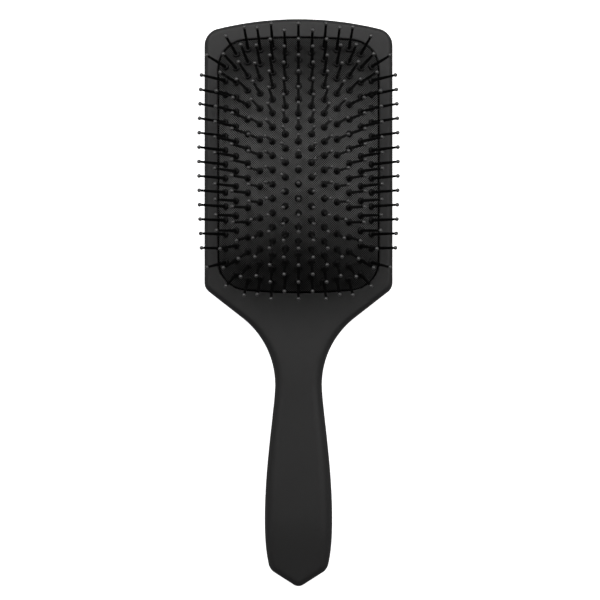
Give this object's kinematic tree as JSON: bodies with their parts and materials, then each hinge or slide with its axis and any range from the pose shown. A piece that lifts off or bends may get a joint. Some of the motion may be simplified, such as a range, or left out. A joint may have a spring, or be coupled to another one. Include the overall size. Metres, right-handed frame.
{
  "type": "paddle hairbrush",
  "caption": "Paddle hairbrush with a broad rounded rectangular head, a springy domed rubber cushion of ball-tipped pins, and a slim waisted handle.",
  "frame": {"origin": "on the surface the brush lies on, under the middle of its outline", "axes": "+Y along the brush from the handle to the head, +Z the way the pins point, +X across the head"},
  "size_m": [0.0864, 0.25, 0.0435],
  "materials": {
    "body": "soft-touch matte black",
    "frame": "moulded dark grey",
    "cushion": "finely textured black rubber",
    "pins": "glossy black nylon"
  },
  "bodies": {
    "brush_body": {"front_shell": "body", "back_shell": "body", "cushion_frame": "frame"},
    "cushion": {"cushion": "cushion"},
    "pins_left_6": {"pins_left_6_strip_1": "pins", "pins_left_6_strip_2": "pins", "pins_left_6_strip_3": "pins", "pins_left_6_strip_4": "pins"},
    "pins_left_5": {"pins_left_5_strip_1": "pins", "pins_left_5_strip_2": "pins", "pins_left_5_strip_3": "pins", "pins_left_5_strip_4": "pins"},
    "pins_left_4": {"pins_left_4_strip_1": "pins", "pins_left_4_strip_2": "pins", "pins_left_4_strip_3": "pins", "pins_left_4_strip_4": "pins"},
    "pins_left_3": {"pins_left_3_strip_1": "pins", "pins_left_3_strip_2": "pins", "pins_left_3_strip_3": "pins", "pins_left_3_strip_4": "pins"},
    "pins_left_2": {"pins_left_2_strip_1": "pins", "pins_left_2_strip_2": "pins", "pins_left_2_strip_3": "pins", "pins_left_2_strip_4": "pins"},
    "pins_left_1": {"pins_left_1_strip_1": "pins", "pins_left_1_strip_2": "pins", "pins_left_1_strip_3": "pins", "pins_left_1_strip_4": "pins"},
    "pins_centre": {"pins_centre_strip_1": "pins", "pins_centre_strip_2": "pins", "pins_centre_strip_3": "pins", "pins_centre_strip_4": "pins"},
    "pins_right_1": {"pins_right_1_strip_1": "pins", "pins_right_1_strip_2": "pins", "pins_right_1_strip_3": "pins", "pins_right_1_strip_4": "pins"},
    "pins_right_2": {"pins_right_2_strip_1": "pins", "pins_right_2_strip_2": "pins", "pins_right_2_strip_3": "pins", "pins_right_2_strip_4": "pins"},
    "pins_right_3": {"pins_right_3_strip_1": "pins", "pins_right_3_strip_2": "pins", "pins_right_3_strip_3": "pins", "pins_right_3_strip_4": "pins"},
    "pins_right_4": {"pins_right_4_strip_1": "pins", "pins_right_4_strip_2": "pins", "pins_right_4_strip_3": "pins", "pins_right_4_strip_4": "pins"},
    "pins_right_5": {"pins_right_5_strip_1": "pins", "pins_right_5_strip_2": "pins", "pins_right_5_strip_3": "pins", "pins_right_5_strip_4": "pins"},
    "pins_right_6": {"pins_right_6_strip_1": "pins", "pins_right_6_strip_2": "pins", "pins_right_6_strip_3": "pins", "pins_right_6_strip_4": "pins"}
  },
  "joints": [
    {"name": "cushion_press", "type": "slide", "parent": "brush_body", "child": "cushion", "axis": [0, 0, 1], "range_m": [-0.002, 0], "stiffness_N_per_m": 5000, "deforming": ["cushion"]},
    {"name": "rock_left_6", "type": "hinge", "parent": "cushion", "child": "pins_left_6", "pos_m": [-0.03175, 0.0603, 0.0149], "axis": [0, 1, 0], "range_deg": [-10, 10], "stiffness_Nm_per_rad": 0.6},
    {"name": "rock_left_5", "type": "hinge", "parent": "cushion", "child": "pins_left_5", "pos_m": [-0.02706, 0.0603, 0.01794], "axis": [0, 1, 0], "range_deg": [-10, 10], "stiffness_Nm_per_rad": 0.6},
    {"name": "rock_left_4", "type": "hinge", "parent": "cushion", "child": "pins_left_4", "pos_m": [-0.02197, 0.0603, 0.02029], "axis": [0, 1, 0], "range_deg": [-10, 10], "stiffness_Nm_per_rad": 0.6},
    {"name": "rock_left_3", "type": "hinge", "parent": "cushion", "child": "pins_left_3", "pos_m": [-0.01664, 0.0603, 0.02196], "axis": [0, 1, 0], "range_deg": [-10, 10], "stiffness_Nm_per_rad": 0.6},
    {"name": "rock_left_2", "type": "hinge", "parent": "cushion", "child": "pins_left_2", "pos_m": [-0.01115, 0.0603, 0.0231], "axis": [0, 1, 0], "range_deg": [-10, 10], "stiffness_Nm_per_rad": 0.6},
    {"name": "rock_left_1", "type": "hinge", "parent": "cushion", "child": "pins_left_1", "pos_m": [-0.00564, 0.0603, 0.02378], "axis": [0, 1, 0], "range_deg": [-10, 10], "stiffness_Nm_per_rad": 0.6},
    {"name": "rock_centre", "type": "hinge", "parent": "cushion", "child": "pins_centre", "pos_m": [0, 0.0603, 0.02397], "axis": [0, 1, 0], "range_deg": [-10, 10], "stiffness_Nm_per_rad": 0.6},
    {"name": "rock_right_1", "type": "hinge", "parent": "cushion", "child": "pins_right_1", "pos_m": [0.00564, 0.0603, 0.02378], "axis": [0, 1, 0], "range_deg": [-10, 10], "stiffness_Nm_per_rad": 0.6},
    {"name": "rock_right_2", "type": "hinge", "parent": "cushion", "child": "pins_right_2", "pos_m": [0.01115, 0.0603, 0.0231], "axis": [0, 1, 0], "range_deg": [-10, 10], "stiffness_Nm_per_rad": 0.6},
    {"name": "rock_right_3", "type": "hinge", "parent": "cushion", "child": "pins_right_3", "pos_m": [0.01664, 0.0603, 0.02196], "axis": [0, 1, 0], "range_deg": [-10, 10], "stiffness_Nm_per_rad": 0.6},
    {"name": "rock_right_4", "type": "hinge", "parent": "cushion", "child": "pins_right_4", "pos_m": [0.02197, 0.0603, 0.02029], "axis": [0, 1, 0], "range_deg": [-10, 10], "stiffness_Nm_per_rad": 0.6},
    {"name": "rock_right_5", "type": "hinge", "parent": "cushion", "child": "pins_right_5", "pos_m": [0.02706, 0.0603, 0.01794], "axis": [0, 1, 0], "range_deg": [-10, 10], "stiffness_Nm_per_rad": 0.6},
    {"name": "rock_right_6", "type": "hinge", "parent": "cushion", "child": "pins_right_6", "pos_m": [0.03175, 0.0603, 0.0149], "axis": [0, 1, 0], "range_deg": [-10, 10], "stiffness_Nm_per_rad": 0.6}
  ]
}
